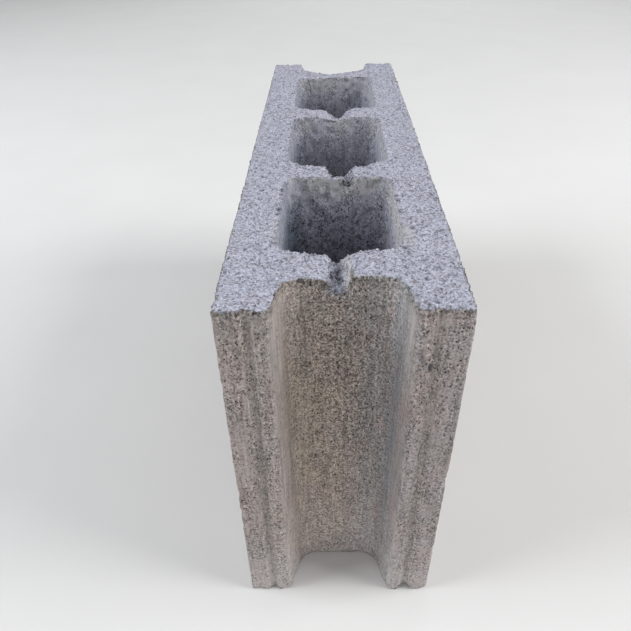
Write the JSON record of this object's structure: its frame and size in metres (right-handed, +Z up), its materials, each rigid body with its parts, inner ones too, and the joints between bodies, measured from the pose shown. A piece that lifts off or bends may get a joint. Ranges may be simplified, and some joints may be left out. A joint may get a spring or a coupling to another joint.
{
  "type": "hollow concrete block",
  "caption": "Hollow concrete masonry block with open cores, notched webs and recessed ends, laid in mortar to build a thin reinforced wall.",
  "frame": {"origin": "under the middle of the block, on the face that it stands on", "axes": "+X along the length, out of the end that the picture shows; +Y across the thickness; +Z up, out of the face with the wide core mouths and the notched webs"},
  "size_m": [0.39, 0.1, 0.19],
  "materials": {
    "concrete": "dry-pressed grey concrete, matt and grainy, with small pits and crumbly arrises"
  },
  "bodies": {
    "root": {"concrete_block": "concrete"}
  },
  "joints": []
}
